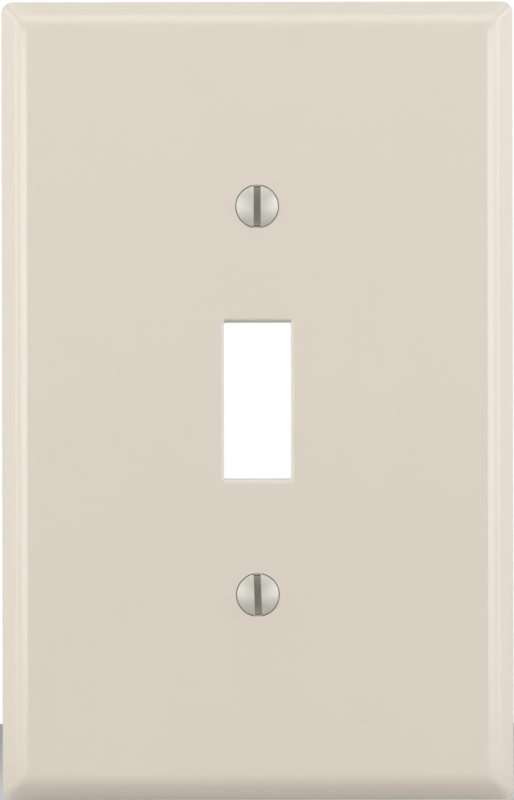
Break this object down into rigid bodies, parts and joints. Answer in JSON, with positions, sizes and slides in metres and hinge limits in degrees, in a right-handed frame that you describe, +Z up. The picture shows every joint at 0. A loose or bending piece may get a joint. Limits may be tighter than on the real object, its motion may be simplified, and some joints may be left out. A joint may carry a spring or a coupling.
{
  "type": "toggle switch wall plate",
  "caption": "Rectangular one-gang cover plate for a toggle wall switch, with bevelled edges, a central toggle opening and captive oval-head screws above and below it.",
  "frame": {"origin": "centre of the back rim's plane, on the plate's centreline, where the plate stands against the wall", "axes": "+Z up along the plate's height, +Y into the wall, X across the width with +X to the viewer's right; the face looks along -Y"},
  "size_m": [0.0794, 0.0138, 0.124],
  "materials": {
    "plate_plastic": "semi-gloss light-almond moulded thermoset",
    "screw_steel": "satin nickel-toned plating, turned head",
    "washer_fibre": "matt red-brown vulcanised fibre"
  },
  "bodies": {
    "plate": {"wall_plate": "plate_plastic"},
    "upper_retainer": {"upper_screw_retainer": "washer_fibre"},
    "upper_screw": {"upper_screw": "screw_steel"},
    "lower_retainer": {"lower_screw_retainer": "washer_fibre"},
    "lower_screw": {"lower_screw": "screw_steel"}
  },
  "joints": [
    {"name": "upper_screw_slide", "type": "slide", "parent": "plate", "child": "upper_retainer", "axis": [0, -1, 0], "range_m": [0, 0.0015]},
    {"name": "upper_screw_turn", "type": "hinge", "parent": "upper_retainer", "child": "upper_screw", "pos_m": [0, 0, 0.03016], "axis": [0, -1, 0], "continuous": true},
    {"name": "lower_screw_slide", "type": "slide", "parent": "plate", "child": "lower_retainer", "axis": [0, -1, 0], "range_m": [0, 0.0015]},
    {"name": "lower_screw_turn", "type": "hinge", "parent": "lower_retainer", "child": "lower_screw", "pos_m": [0, 0, -0.03016], "axis": [0, -1, 0], "continuous": true}
  ]
}
